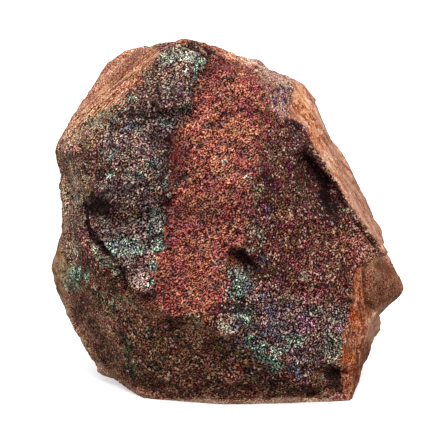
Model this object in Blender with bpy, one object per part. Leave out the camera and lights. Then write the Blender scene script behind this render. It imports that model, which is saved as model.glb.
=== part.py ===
"""A hand specimen of chalcopyrite: one lump of massive ore, broken on every side.

The lump is one solid. It starts as the block that its corners span, gets its spur, loses a
few flakes to wedge-shaped cutters, and is then carved on a fine grid: the tarnished crust
stands proud of the rusty fracture, cliffs and furrows cross its faces, and hackle covers all.

Named values are in millimetres. +X is right, +Y away and +Z up, as the specimen is seen from
its rust-banded front. The origin is on the flat that it stands on, under the middle of its box.
"""

import bmesh
import bpy
import numpy as np
from mathutils import Vector, noise
from mathutils.bvhtree import BVHTree

MM = 0.001
FAR = 0.2  # in metres: outside the lump on every side

GRID = 0.65  # spacing of the grid that the lump is carved on
CLOSING_GRID = 0.5  # spacing of the grid that closes any folds which the carving left
TRIANGLES = 9000  # what the finished solid is reduced to
FOOT_CUT = 0.5  # height at which the foot is ground flat

# The block's corners: (right, away, up).
CORNERS = {
    "crest left": (-12.5, 1.0, 69.6),
    "crest": (-9.0, 2.0, 69.7),
    "crest right": (-2.5, -4.0, 67.5),
    "band head left": (-4.5, -10.0, 65.0),
    "band head right": (6.0, -12.0, 61.5),
    "band waist left": (-11.0, -19.0, 46.5),
    "band waist right": (4.0, -22.5, 42.5),
    "band foot left": (-14.0, -27.0, 22.0),
    "band foot right": (0.5, -29.0, 19.0),
    "crust corner": (-25.5, -10.0, 50.5),
    "crust side": (-27.0, -14.0, 34.5),
    "crust foot": (-25.0, -17.0, 26.5),
    "bevel top": (-15.2, -6.0, 65.6),
    "bevel back low": (-30.4, 8.0, 54.8),
    "bevel back high": (-26.4, 13.0, 61.8),
    "bevel back top": (-20.4, 15.0, 66.4),
    "left shoulder top": (-34.0, 2.0, 49.6),
    "left shoulder": (-35.0, 1.0, 47.0),
    "left hip": (-35.7, 2.0, 23.5),
    "left hip foot": (-35.4, 2.0, 20.5),
    "crown": (9.2, 1.0, 63.3),
    "right shoulder": (15.4, 2.0, 61.8),
    "ridge head": (14.5, -7.0, 53.5),
    "ridge middle": (21.8, -9.0, 42.0),
    "ridge low": (26.6, -10.0, 33.5),
    "ridge foot": (30.5, -8.0, 27.5),
    "flank high": (18.6, 9.0, 53.4),
    "flank middle": (25.4, 11.0, 41.0),
    "flank low": (31.3, 7.0, 27.6),
    "toe edge high": (26.0, -13.0, 20.5),
    "toe edge": (22.5, -17.0, 12.5),
    "toe shoulder": (30.5, 1.0, 13.6),
    "toe side": (29.7, 2.0, 10.5),
    "toe heel": (27.8, 2.0, 3.6),
    "belly": (-27.3, 2.0, 7.7),
    "belly low": (-25.0, -1.0, 2.5),
    "belly front left": (-25.0, -13.0, 16.0),
    "belly front": (-15.0, -21.0, 12.5),
    "belly front right": (13.5, -21.0, 5.0),
    "back crest": (-11.0, 14.0, 66.0),
    "back shoulder left": (-27.0, 16.0, 53.0),
    "back shoulder right": (10.0, 19.0, 59.5),
    "back ridge high": (-5.0, 25.0, 52.0),
    "back ridge": (-1.0, 28.0, 37.0),
    "back ridge low": (6.0, 26.5, 17.0),
    "back flank": (23.0, 15.5, 42.0),
    "back flank low": (28.0, 13.0, 22.0),
    "back hip": (-31.0, 14.0, 31.0),
    "back belly": (-26.5, 14.0, 11.0),
    "foot front left": (-16.0, -13.0, 0.0),
    "foot front": (-0.5, -18.0, 0.0),
    "foot front right": (24.2, -15.0, 0.0),
    "foot right": (26.2, -2.0, 0.0),
    "foot back right": (19.0, 16.0, 0.0),
    "foot back": (0.0, 20.0, 0.0),
    "foot back left": (-14.0, 13.0, 0.0),
    "foot left": (-17.0, 0.0, 0.0),
}

# The spur on the right flank: the skin over these balls, as (right, away, up) and radius. The
# root is sunk in the block.
SPUR_BALLS = {
    "brow": ((30.4, -1.6, 27.5), 1.6),
    "nose": ((34.1, -0.6, 20.0), 1.9),
    "chin": ((31.3, -1.6, 17.3), 1.3),
    "cheek high": ((27.4, -9.2, 23.6), 2.2),
    "cheek low": ((27.8, -8.6, 17.2), 1.8),
    "back": ((29.0, 6.0, 19.5), 2.6),
    "root": ((22.0, 0.0, 21.0), 6.0),
}

# How each side is looked at: the axis across, the axis up, the axis into it, and which way
# the side faces along that last axis.
SIDES = {
    "front": (0, 2, 1, -1),
    "back": (0, 2, 1, 1),
    "left": (1, 2, 0, -1),
    "right": (1, 2, 0, 1),
    "top": (0, 1, 2, 1),
}

# Flakes knocked out of the block. The mouth is the outline on the surface, as (across, up);
# the heel is the deepest edge, close under the mouth's upper side, so that a wall stands there.
BITES = [
    # side, mouth, heel, depth
    ("front", [(-0.4, 32.4), (2.4, 32.2), (6.2, 28.2), (4.8, 25.6), (0.2, 27.6)],
     [(0.4, 31.4), (2.4, 31.0), (5.4, 28.0), (4.8, 27.0)], 4.6),
    ("front", [(13.6, 49.6), (16.0, 48.4), (21.6, 42.2), (24.8, 36.0), (17.6, 35.0), (12.6, 42.0)],
     [(14.2, 47.6), (15.2, 46.8), (22.0, 38.6), (19.0, 40.0)], 5.2),
    ("front", [(10.0, 55.0), (13.8, 54.6), (16.0, 50.4), (12.0, 50.8)],
     [(12.0, 53.6), (14.2, 51.2)], 2.2),
    ("front", [(16.8, 8.3), (20.2, 8.3), (23.2, 6.6), (22.8, 3.6), (17.8, 5.4)],
     [(17.8, 7.4), (22.0, 5.6)], 4.4),
    ("front", [(14.0, 3.9), (18.0, 4.1), (18.2, 0.2), (14.0, 0.2)],
     [(14.8, 3.0), (17.4, 3.0)], 3.4),
    ("front", [(-17.0, 23.6), (-14.6, 24.2), (-12.4, 23.4), (-13.0, 21.6), (-16.6, 21.6)],
     [(-16.0, 22.8), (-13.4, 22.8)], 2.8),
    ("back", [(-27.0, 46.0), (-14.0, 60.0), (2.0, 56.0), (-4.0, 44.0)],
     [(-16.0, 54.0), (-1.0, 52.0)], 3.4),
    ("back", [(3.0, 40.0), (30.0, 44.0), (32.0, 26.0), (8.0, 24.0)],
     [(8.0, 37.0), (27.0, 38.0)], 3.6),
    ("back", [(-26.0, 22.0), (-12.0, 27.0), (4.0, 20.0), (2.0, 2.0), (-20.0, -2.0)],
     [(-18.0, 20.0), (-2.0, 16.0)], 3.4),
    ("top", [(-10.0, 8.0), (8.0, 2.0), (12.0, 16.0), (-6.0, 18.0)],
     [(-6.0, 8.0), (-3.0, 15.0)], 2.2),
]

# Cliffs where the break jumped from one layer to the next. The high ground lies to the left
# of the path as it runs, and slopes back to nothing over the run.
CLIFFS = [
    # side, path, rise, run
    # the crust beside the rusty band: its hollow's roof, its shelf's lip, the rim of its crack
    ("front", [(-28.0, 40.0), (-24.6, 37.8), (-20.6, 36.4), (-16.4, 36.8), (-12.0, 38.6)], 2.8, 9.0),
    ("front", [(-11.6, 29.8), (-15.6, 28.6), (-20.0, 28.8), (-23.6, 30.2)], 1.7, 4.6),
    ("front", [(-17.4, 23.8), (-20.3, 26.8), (-23.2, 29.2), (-26.4, 32.4), (-27.8, 36.6)], 2.0, 3.2),
    ("front", [(-18.4, 24.2), (-15.8, 22.6), (-13.2, 23.4)], 1.6, 4.0),
    ("front", [(-15.2, 57.4), (-11.6, 55.4), (-7.6, 55.6), (-5.6, 58.2)], 2.2, 6.0),
    ("front", [(-24.0, 53.6), (-19.6, 52.4), (-15.0, 53.4), (-11.0, 52.6)], 1.4, 6.0),
    ("front", [(-3.0, 64.4), (-4.2, 66.6), (-7.0, 68.0), (-10.4, 68.6)], 1.2, 2.6),
    ("front", [(-24.6, 46.6), (-20.0, 45.2), (-15.0, 45.6), (-11.0, 46.8)], 0.7, 4.0),
    # the left bevel's two faces, and the left margin
    ("front", [(-29.6, 51.8), (-24.4, 56.6), (-18.0, 61.4), (-15.4, 64.8)], 0.8, 5.0),
    # the rusty band
    ("front", [(-8.0, 51.0), (-3.0, 53.6), (3.0, 57.4)], 0.6, 2.6),
    ("front", [(-9.6, 45.4), (-4.4, 48.0), (2.0, 51.8)], 0.5, 2.6),
    ("front", [(-8.6, 38.6), (-2.0, 38.8), (4.0, 40.6)], 0.5, 3.0),
    ("front", [(-11.2, 29.0), (-5.0, 28.6), (0.0, 29.4)], 0.4, 3.0),
    # the dark face on its right
    ("front", [(5.0, 34.0), (5.4, 44.0), (6.6, 54.0), (8.6, 60.0)], 0.9, 3.4),
    ("front", [(5.2, 23.8), (10.0, 24.8), (16.0, 23.4), (24.6, 21.8)], 0.8, 5.0),
    ("front", [(31.6, 27.4), (29.8, 29.6), (27.0, 33.0), (23.4, 37.2)], 0.8, 2.2),
    ("front", [(7.6, 38.6), (10.4, 41.6), (11.8, 45.6)], 0.8, 4.0),
    ("front", [(4.0, 13.4), (8.6, 10.2), (13.4, 8.4), (17.0, 9.4)], 1.2, 4.0),
    # the dark belly
    ("front", [(-13.2, 21.0), (-8.0, 18.2), (-1.0, 17.0), (3.4, 14.8)], 1.2, 5.0),
    ("front", [(-24.0, 17.0), (-14.0, 9.4), (0.0, 5.4), (12.0, 4.6)], 0.9, 4.5),
    ("front", [(-22.0, 9.6), (-10.0, 4.4), (4.0, 3.0)], 0.7, 3.0),
    ("front", [(-33.0, 24.4), (-27.6, 21.8), (-21.6, 16.6)], 0.7, 5.0),
    # the back
    ("back", [(-22.0, 42.0), (-12.0, 35.0), (2.0, 34.0), (14.0, 40.0)], 2.0, 9.0),
    ("back", [(-18.0, 30.0), (-6.0, 25.0), (4.0, 27.0)], 1.4, 5.0),
    ("back", [(4.0, 14.0), (12.0, 10.0), (22.0, 13.0)], 1.6, 6.0),
    ("back", [(-4.0, 61.0), (4.0, 53.0), (16.0, 50.0)], 1.4, 5.0),
    ("right", [(-8.0, 16.0), (0.0, 11.0), (8.0, 7.0)], 1.0, 4.0),
    ("right", [(20.0, 22.0), (12.0, 26.0), (6.0, 34.0)], 1.0, 5.0),
]

CLIFF_WALL = 0.35  # half the width that a cliff's wall takes, seen from its side

# Furrows and swells: the path across the side, half the width, and the height.
STROKES = [
    ("front", [(-8.6, 65.0), (-8.0, 61.5), (-9.6, 58.6)], 4.4, 0.9),
    ("front", [(-9.8, 69.2), (-7.0, 68.4), (-4.6, 67.0), (-3.2, 65.0)], 0.8, -1.2),
    ("front", [(-15.0, 65.6), (-14.6, 63.2), (-14.0, 60.8), (-13.0, 58.2)], 1.4, -1.5),
    ("front", [(-20.4, 47.0), (-15.4, 44.6)], 5.4, 1.5),
    ("front", [(-21.0, 33.4), (-15.4, 33.0)], 2.6, 0.9),
    ("front", [(-27.0, 39.8), (-23.6, 37.6), (-20.0, 36.6)], 1.8, -1.8),
    ("front", [(-27.0, 37.6), (-25.6, 32.4), (-23.0, 29.2), (-20.2, 26.4), (-17.6, 23.4)], 1.1, -2.6),
    ("front", [(-27.2, 29.6), (-24.4, 26.8), (-21.8, 24.2)], 0.8, 0.9),
    ("front", [(-16.4, 25.6), (-15.4, 27.0)], 2.0, 0.8),
    ("front", [(-29.8, 47.8)], 3.6, 1.0),
    ("left", [(-2.0, 41.0), (4.0, 31.5)], 5.5, -3.0),
    ("front", [(-33.4, 38.8), (-29.6, 39.0), (-28.8, 36.4)], 1.8, -0.8),
    ("front", [(-6.6, 18.0), (-6.4, 15.4)], 1.1, -1.1),
    ("front", [(-3.4, 18.4), (-3.2, 15.8)], 0.8, -0.8),
    ("front", [(-1.4, 17.0)], 1.9, 0.9),
]

# Where the crust ends on the front, from the crest down the rusty band's left side, round
# the crust's foot and up its left side. On the back it ends where a slow noise says.
CRUST_OUTLINE = [
    (-12.7, 68.4), (-5.4, 67.9), (-3.8, 66.0), (-4.2, 63.4), (-5.7, 61.6), (-6.0, 59.4),
    (-7.4, 58.0), (-7.8, 55.8), (-9.4, 55.0), (-12.8, 55.2), (-9.4, 54.2), (-9.2, 52.8),
    (-11.0, 51.6), (-11.3, 49.0), (-11.3, 46.2), (-10.4, 43.0), (-10.6, 41.0), (-12.0, 39.6),
    (-12.2, 37.6), (-11.4, 34.4), (-12.6, 32.8), (-12.5, 31.0), (-14.2, 30.2), (-13.3, 28.6),
    (-14.2, 27.2), (-13.5, 25.2), (-14.6, 23.8), (-16.2, 23.0), (-18.4, 23.6), (-21.0, 25.8),
    (-23.8, 28.2), (-26.2, 31.0), (-27.4, 34.0), (-28.0, 37.4), (-27.6, 41.0), (-28.0, 45.0),
    (-26.4, 48.6), (-27.4, 51.6), (-23.4, 55.8), (-19.0, 59.8), (-16.6, 62.0), (-15.6, 65.6),
]
CRUST_HEIGHT = 1.1
CRUST_STEP = 0.5  # how wide the step at the crust's edge is
CRUST_PATCH = 15.0  # size of the patches that the crust is left in on the back
CRUST_SHARE = 0.10  # noise level above which the back keeps its crust
FRONT_ENDS = 4.0  # depth about which the front's outline gives way to the noise

RAGGED = (2.6, 0.9)  # size and reach of the ragged bends that every edge above takes

# Hackle: the roughness that breaking leaves, as (size, height) from broad to fine.
SWELL = (11.0, 0.7)
CHIP = (4.2, 0.45)
CHIP_MEAN = 0.35  # what the cellular noise is on average
CRUMB = (1.9, 0.22)
SMOOTH_FACES = [  # the worn faces, as the way they face: the right flank and the left bevel
    (Vector((0.93, -0.22, 0.30)), 0.35),
    (Vector((-0.62, -0.30, 0.72)), 0.35),
]
SPUR_CENTRE = Vector((33.0, -1.0, 20.5))
SPUR_REACH = 9.0  # hackle fades out within this distance of the spur's middle


def clear_scene():
    for obj in list(bpy.data.objects):
        bpy.data.objects.remove(obj, do_unlink=True)


def hull_object(name, points):
    """An object that fills the convex hull of the points."""
    bm = bmesh.new()
    for point in points:
        bm.verts.new(Vector(point) * MM)
    made = bmesh.ops.convex_hull(bm, input=bm.verts)
    inside = {e for e in made["geom_interior"] if isinstance(e, bmesh.types.BMVert)}
    bmesh.ops.delete(bm, geom=list(inside), context="VERTS")
    bmesh.ops.recalc_face_normals(bm, faces=bm.faces)
    mesh = bpy.data.meshes.new(name)
    bm.to_mesh(mesh)
    bm.free()
    obj = bpy.data.objects.new(name, mesh)
    bpy.context.scene.collection.objects.link(obj)
    return obj


def hide_cutter(obj):
    obj.hide_render = True
    obj.display_type = "WIRE"


def surface_point(tree, side, across, up, lift):
    """The point of the block that is seen there from that side, lifted off it by that much."""
    i, j, into, way = SIDES[side]
    outside = Vector((0, 0, 0))
    outside[i], outside[j], outside[into] = across * MM, up * MM, way * FAR
    towards = Vector((0, 0, 0))
    towards[into] = -way
    hit = tree.ray_cast(outside, towards)[0]
    if hit is None:
        hit = tree.find_nearest(outside)[0]
    point = outside.copy()
    point[into] = hit[into] + way * lift * MM
    return point / MM


def cut_bites(block):
    """Knocks the flakes out of the block."""
    mesh = block.data
    tree = BVHTree.FromPolygons([v.co for v in mesh.vertices], [p.vertices for p in mesh.polygons])
    mouth_lift = 1.5
    for number, (side, mouth, heel, depth) in enumerate(BITES, 1):
        points = [surface_point(tree, side, u, v, mouth_lift) for u, v in mouth]
        points += [surface_point(tree, side, u, v, -depth) for u, v in heel]
        flake = hull_object(f"flake_{number}", points)
        hide_cutter(flake)
        cut = block.modifiers.new(f"bite {number}", "BOOLEAN")
        cut.operation = "DIFFERENCE"
        cut.object = flake


def ball_points(centre, radius):
    """Points spread evenly over a ball."""
    bm = bmesh.new()
    bmesh.ops.create_icosphere(bm, subdivisions=2, radius=radius)
    points = [vert.co + Vector(centre) for vert in bm.verts]
    bm.free()
    return points


def add_spur(block):
    skin = [point for centre, radius in SPUR_BALLS.values() for point in ball_points(centre, radius)]
    spur = hull_object("spur", skin)
    hide_cutter(spur)
    join = block.modifiers.new("spur", "BOOLEAN")
    join.operation = "UNION"
    join.object = spur


def applied(obj):
    """Replaces the object's mesh with what its modifiers make of it."""
    graph = bpy.context.evaluated_depsgraph_get()
    mesh = bpy.data.meshes.new_from_object(obj.evaluated_get(graph))
    obj.modifiers.clear()
    obj.data = mesh


def on_grid(obj, spacing):
    """Rebuilds the surface on an even grid."""
    remesh = obj.modifiers.new("grid", "REMESH")
    remesh.mode = "VOXEL"
    remesh.voxel_size = spacing * MM
    applied(obj)


def smoothstep(low, high, x):
    t = np.clip((x - low) / (high - low), 0.0, 1.0)
    return t * t * (3.0 - 2.0 * t)


def beside_path(points, path):
    """How far each point of the plane is from the path, which may be a single point; how far
    to the path's left it is; and how far along the path, from 0 to 1, its nearest point lies."""
    path = np.array(path, float)
    if len(path) == 1:
        far = np.linalg.norm(points - path[0], axis=1)
        return far, far, np.full(len(points), 0.5)
    steps = np.linalg.norm(np.diff(path, axis=0), axis=1)
    starts = np.concatenate([[0.0], np.cumsum(steps)[:-1]])
    nearest = np.full(len(points), np.inf)
    left = np.zeros(len(points))
    share = np.zeros(len(points))
    for a, b, step, start in zip(path[:-1], path[1:], steps, starts):
        way = (b - a) / step
        along = np.clip((points - a) @ way, 0.0, step)
        gap = points - a - along[:, None] * way
        far = np.linalg.norm(gap, axis=1)
        closer = far < nearest
        nearest = np.where(closer, far, nearest)
        side = np.sign(way[0] * gap[:, 1] - way[1] * gap[:, 0])
        left = np.where(closer, far * side, left)
        share = np.where(closer, (start + along) / steps.sum(), share)
    return nearest, left, share


def ragged(points):
    """The points moved a little by noise, so that what is drawn on them gets ragged edges."""
    size, reach = RAGGED
    return points + reach * np.array([noise.noise_vector(Vector(p) / size) for p in points])


def inside_outline(points, outline):
    """Whether each point of the plane lies inside the closed outline."""
    inside = np.zeros(len(points), bool)
    corners = np.array(outline, float)
    for a, b in zip(corners, np.roll(corners, -1, axis=0)):
        crosses = (a[1] > points[:, 1]) != (b[1] > points[:, 1])
        rise = b[1] - a[1] if b[1] != a[1] else 1.0
        inside ^= crosses & (points[:, 0] < a[0] + (points[:, 1] - a[1]) / rise * (b[0] - a[0]))
    return inside


def facing(normals, side):
    """How squarely each normal faces that side, from 0 to 1."""
    _, _, into, way = SIDES[side]
    return smoothstep(0.05, 0.45, normals[:, into] * way)


def stroke_height(points, normals):
    height = np.zeros(len(points))
    for side, path, width, rise in STROKES:
        i, j, _, _ = SIDES[side]
        fade = smoothstep(width * 1.5, 0.0, beside_path(points[:, [i, j]], path)[0])
        height += rise * fade * facing(normals, side)
    return height


def cliff_height(points, normals):
    height = np.zeros(len(points))
    for side, path, rise, run in CLIFFS:
        i, j, _, _ = SIDES[side]
        _, left, share = beside_path(points[:, [i, j]], path)
        wall = smoothstep(-CLIFF_WALL, CLIFF_WALL, left) * smoothstep(run, 0.0, left)
        ends = smoothstep(0.0, 0.2, share) * smoothstep(1.0, 0.8, share)
        height += rise * wall * ends * facing(normals, side)
    return height


def crust_cover(points, normals):
    """1 where the crust is left on the ore and 0 where it has come away."""
    plane = points[:, [0, 2]]
    closed = CRUST_OUTLINE + CRUST_OUTLINE[:1]
    edge = beside_path(plane, closed)[0] * np.where(inside_outline(plane, CRUST_OUTLINE), 1, -1)
    front = smoothstep(-CRUST_STEP, CRUST_STEP, edge) * facing(normals, "front")
    level = np.array([noise.noise(Vector(p) / CRUST_PATCH) for p in points])
    back = smoothstep(-0.03, 0.03, level - CRUST_SHARE)
    at_back = smoothstep(-FRONT_ENDS, FRONT_ENDS, points[:, 1])
    return front * (1.0 - at_back) + back * at_back


def chip_height(point):
    """Angular chips: each cell of a cellular noise is a low facet that ends in a step."""
    distances, _ = noise.voronoi(point, distance_metric="CHEBYCHEV")
    return distances[1] - distances[0] - CHIP_MEAN


def hackle_height(points, normals):
    swell, chip, crumb = (size for size, _ in (SWELL, CHIP, CRUMB))
    height = np.empty(len(points))
    for k, p in enumerate(points):
        point = Vector(p)
        height[k] = SWELL[1] * noise.noise(point / swell)
        height[k] += CHIP[1] * chip_height(point / chip)
        height[k] += CRUMB[1] * noise.noise(point / crumb)
    return height * roughness_of(points, normals)


def roughness_of(points, normals):
    """The worn faces and the spur's tip carry little hackle."""
    rough = np.ones(len(points))
    for way, left_over in SMOOTH_FACES:
        worn = smoothstep(0.86, 0.95, normals @ np.array(way.normalized()))
        rough *= 1.0 - (1.0 - left_over) * worn
    from_spur = np.linalg.norm(points - np.array(SPUR_CENTRE), axis=1)
    return rough * (0.3 + 0.7 * smoothstep(0.5 * SPUR_REACH, SPUR_REACH, from_spur))


def foot_fade(points):
    """Relief fades out towards the flat underside."""
    return smoothstep(0.2, 2.5, points[:, 2])


def carve(obj):
    """Moves every point of the fine grid in or out by the relief there."""
    mesh = obj.data
    count = len(mesh.vertices)
    points = np.empty(count * 3)
    normals = np.empty(count * 3)
    mesh.vertices.foreach_get("co", points)
    mesh.vertices.foreach_get("normal", normals)
    points = points.reshape(-1, 3) / MM
    normals = normals.reshape(-1, 3)
    bent = ragged(points)
    height = stroke_height(bent, normals) + cliff_height(bent, normals)
    height += CRUST_HEIGHT * crust_cover(bent, normals)
    height += hackle_height(points, normals)
    points += normals * (height * foot_fade(points))[:, None]
    mesh.vertices.foreach_set("co", (points * MM).ravel())
    mesh.update()


def reduce_faces(obj):
    """Keeps the triangles where the surface turns, and merges them where it is flat."""
    triangles = sum(len(p.vertices) - 2 for p in obj.data.polygons)
    decimate = obj.modifiers.new("fewer faces", "DECIMATE")
    decimate.ratio = TRIANGLES / triangles
    decimate.use_collapse_triangulate = True
    applied(obj)


def grind_foot(obj):
    """Cuts the underside flat, and puts the origin on it under the middle of the box."""
    bm = bmesh.new()
    bm.from_mesh(obj.data)
    everything = bm.verts[:] + bm.edges[:] + bm.faces[:]
    level = Vector((0, 0, FOOT_CUT * MM))
    bmesh.ops.bisect_plane(
        bm, geom=everything, plane_co=level, plane_no=(0, 0, 1), clear_inner=True
    )
    rim = [edge for edge in bm.edges if edge.is_boundary]
    bmesh.ops.holes_fill(bm, edges=rim, sides=0)
    bmesh.ops.triangulate(bm, faces=bm.faces)
    low = Vector([min(v.co[k] for v in bm.verts) for k in range(3)])
    high = Vector([max(v.co[k] for v in bm.verts) for k in range(3)])
    middle = (low + high) / 2
    bmesh.ops.translate(bm, verts=bm.verts, vec=(-middle.x, -middle.y, -low.z))
    bm.to_mesh(obj.data)
    bm.free()


def ore_material():
    material = bpy.data.materials.new("tarnished ore")
    material.use_nodes = True
    shader = material.node_tree.nodes["Principled BSDF"]
    shader.inputs["Base Color"].default_value = (0.20, 0.085, 0.05, 1.0)
    shader.inputs["Roughness"].default_value = 0.6
    shader.inputs["Metallic"].default_value = 0.3
    return material


def main():
    clear_scene()
    ore = hull_object("chalcopyrite", CORNERS.values())
    cut_bites(ore)
    add_spur(ore)
    on_grid(ore, GRID)
    carve(ore)
    on_grid(ore, CLOSING_GRID)
    reduce_faces(ore)
    grind_foot(ore)
    ore.data.shade_smooth()
    ore.data.set_sharp_from_angle(angle=0.6)
    ore.data.materials.append(ore_material())


main()
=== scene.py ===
"""A lump of massive chalcopyrite ore with its rusty break and its peacock-tarnished crust,
standing on a plain pale floor. Lengths named here are in millimetres unless they say otherwise."""

import math

import bmesh
import bpy
import numpy as np
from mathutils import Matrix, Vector, noise


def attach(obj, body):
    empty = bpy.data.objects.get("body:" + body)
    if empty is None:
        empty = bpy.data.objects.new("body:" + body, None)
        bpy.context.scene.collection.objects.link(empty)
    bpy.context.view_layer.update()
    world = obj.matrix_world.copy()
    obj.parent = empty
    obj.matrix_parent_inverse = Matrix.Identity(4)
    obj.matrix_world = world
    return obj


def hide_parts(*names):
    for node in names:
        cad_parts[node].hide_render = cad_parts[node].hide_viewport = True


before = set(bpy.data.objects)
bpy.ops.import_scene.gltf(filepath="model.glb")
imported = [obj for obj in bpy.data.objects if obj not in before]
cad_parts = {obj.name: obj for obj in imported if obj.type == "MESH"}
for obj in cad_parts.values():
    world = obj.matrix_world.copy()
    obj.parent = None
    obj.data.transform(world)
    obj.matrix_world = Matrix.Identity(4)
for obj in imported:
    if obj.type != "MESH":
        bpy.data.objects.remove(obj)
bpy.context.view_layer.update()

# ---------------------------------------------------------------------- the eye and its camera
# A long lens from a little above the lump's middle. Places on the front are named below as the
# eye sees them: how far right and how far up, on an upright plane through the middle.

MM = 0.001
EYE_HEIGHT_ANGLE = math.radians(8)
EYE_DISTANCE = 342.0
LOOKED_AT = np.array([-1.5, 0.0, 33.3])
TO_EYE = np.array([0.0, -math.cos(EYE_HEIGHT_ANGLE), math.sin(EYE_HEIGHT_ANGLE)])
EYE_UP = np.array([0.0, math.sin(EYE_HEIGHT_ANGLE), math.cos(EYE_HEIGHT_ANGLE)])

lens = bpy.data.cameras.new("long lens")
lens.lens = 140
lens.sensor_width = 36
lens.clip_start = 10 * MM
camera = bpy.data.objects.new("camera", lens)
camera.location = (LOOKED_AT + TO_EYE * EYE_DISTANCE) * MM
camera.rotation_mode = "QUATERNION"
camera.rotation_quaternion = Vector(-TO_EYE).to_track_quat("-Z", "Y")
bpy.context.scene.collection.objects.link(camera)
bpy.context.scene.camera = camera


def as_seen(points):
    """Each point's place (right, up) on the upright plane through the middle, from the eye."""
    away = points - LOOKED_AT
    reach = EYE_DISTANCE / (EYE_DISTANCE - away @ TO_EYE)
    return np.column_stack([away[:, 0] * reach, away @ EYE_UP * reach])


# ------------------------------------------------------------------------------ the lump of ore
# Massive sulphide ore, broken from the rock with a hammer. Its solid form is the frame's; here
# the same form gets its fine break: grains, pits, cracks and the botryoidal skin of the crust.

SPACING = 0.465  # of the mesh's points
FOOT = 0.3  # below this height the flat foot keeps its form
EASING = 3  # rounds of smoothing on the rough break
WORN_EASING = 9  # the further rounds where a face is worn smooth


def refined_copy(node, name):
    """The node's form as a new piece, on an even grid fine enough to carry the grain."""
    made = bmesh.new()
    made.from_mesh(node.data)
    bmesh.ops.remove_doubles(made, verts=made.verts, dist=1e-6)
    mesh = bpy.data.meshes.new(name)
    made.to_mesh(mesh)
    made.free()
    piece = bpy.data.objects.new(name, mesh)
    bpy.context.scene.collection.objects.link(piece)
    remesh = piece.modifiers.new("grid", "REMESH")
    remesh.mode = "VOXEL"
    remesh.voxel_size = SPACING * MM
    graph = bpy.context.evaluated_depsgraph_get()
    piece.data = bpy.data.meshes.new_from_object(piece.evaluated_get(graph))
    piece.modifiers.clear()
    piece.data.name = name
    return piece


def vectors(mesh, what):
    """The places or the outward directions of a mesh's points, one row for each."""
    values = np.empty(len(mesh.vertices) * 3)
    mesh.vertices.foreach_get(what, values)
    return values.reshape(-1, 3)


def move_points(mesh, points):
    """Puts the mesh's points at those places."""
    mesh.vertices.foreach_set("co", (points * MM).ravel())
    mesh.update()


def smoothstep(low, high, x):
    t = np.clip((x - low) / (high - low), 0.0, 1.0)
    return t * t * (3.0 - 2.0 * t)


def waves(points, size, shift=0.0):
    """A smooth noise of about -0.5 to 0.5 with humps of that size. A shift gives another one."""
    return np.array([noise.noise(p) for p in ((points + shift) / size).tolist()])


def cells(points, size, metric="DISTANCE"):
    """How deep each point lies in its cell of a packing, from 0 on the seams between cells."""
    depths = np.empty(len(points))
    for k, p in enumerate((points / size).tolist()):
        near, _ = noise.voronoi(p, distance_metric=metric)
        depths[k] = near[1] - near[0]
    return depths


def inside(points, outline):
    """Whether each point of the plane lies inside the closed outline."""
    within = np.zeros(len(points), bool)
    corners = np.array(outline, float)
    for a, b in zip(corners, np.roll(corners, -1, axis=0)):
        crosses = (a[1] > points[:, 1]) != (b[1] > points[:, 1])
        rise = b[1] - a[1] if b[1] != a[1] else 1.0
        within ^= crosses & (points[:, 0] < a[0] + (points[:, 1] - a[1]) / rise * (b[0] - a[0]))
    return within


def path_distance(points, path):
    """How far each point of the plane is from the nearest leg of the path."""
    nearest = np.full(len(points), np.inf)
    path = np.array(path, float)
    for a, b in zip(path[:-1], path[1:]):
        along = np.clip((points - a) @ (b - a) / ((b - a) @ (b - a)), 0.0, 1.0)
        gap = points - a - along[:, None] * (b - a)
        nearest = np.minimum(nearest, np.linalg.norm(gap, axis=1))
    return nearest


def area(points, outline, soft):
    """1 inside the outline and 0 outside, changing over the soft width at its edge."""
    far = path_distance(points, outline + outline[:1])
    far = np.where(inside(points, outline), far, -far)
    return smoothstep(-soft, soft, far)


def blot(points, right, up, half_width, half_height, tilt=0):
    """1 in the middle of a tilted oval, fading to 0 a little past its edge."""
    turn = math.radians(tilt)
    dx, dy = points[:, 0] - right, points[:, 1] - up
    along = (dx * math.cos(turn) + dy * math.sin(turn)) / half_width
    across = (dy * math.cos(turn) - dx * math.sin(turn)) / half_height
    return smoothstep(1.5, 0.5, np.hypot(along, across))


def eased(mesh, points, rounds):
    """The points, each drawn towards the middle of its neighbours for that many rounds."""
    pairs = np.empty(len(mesh.edges) * 2, int)
    mesh.edges.foreach_get("vertices", pairs)
    a, b = pairs.reshape(-1, 2).T
    degree = np.bincount(a, minlength=len(points)) + np.bincount(b, minlength=len(points))
    for done in range(int(rounds.max())):
        middle = np.empty_like(points)
        for k in range(3):
            total = np.bincount(a, points[b, k], len(points))
            middle[:, k] = total + np.bincount(b, points[a, k], len(points))
        pull = 0.5 * np.clip(rounds - done, 0.0, 1.0) * (points[:, 2] > FOOT)
        points = points + pull[:, None] * (middle / degree[:, None] - points)
    return points


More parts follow.
